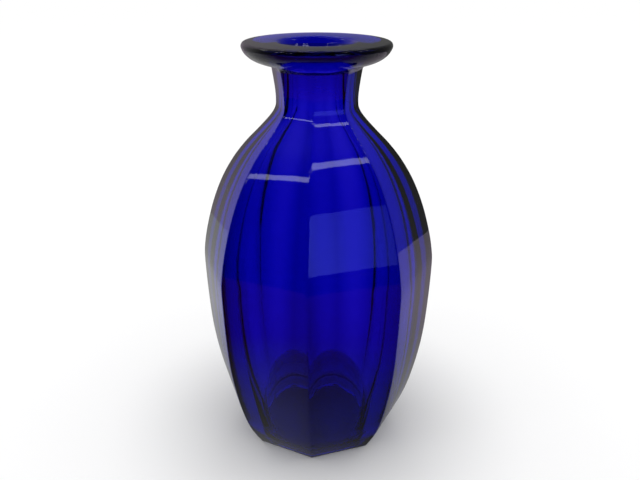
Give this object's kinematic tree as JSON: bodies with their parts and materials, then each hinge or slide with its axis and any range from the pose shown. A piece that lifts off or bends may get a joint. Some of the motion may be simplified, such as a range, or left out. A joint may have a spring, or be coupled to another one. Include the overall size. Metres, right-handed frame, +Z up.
{
  "type": "medicine bottle",
  "caption": "Small panelled glass medicine bottle with a barrel-shaped eight-sided body, short neck, flared round lip and open mouth.",
  "frame": {"origin": "centre of the foot, on the plane that the bottle stands on", "axes": "+Z up along the bottle's axis towards the mouth; +X and +Y each point out through the middle of a flat panel"},
  "size_m": [0.0674, 0.0674, 0.127],
  "materials": {
    "cobalt_glass": "clear deep cobalt-blue glass, glossy"
  },
  "bodies": {
    "root": {"glass_bottle": "cobalt_glass"}
  },
  "joints": []
}
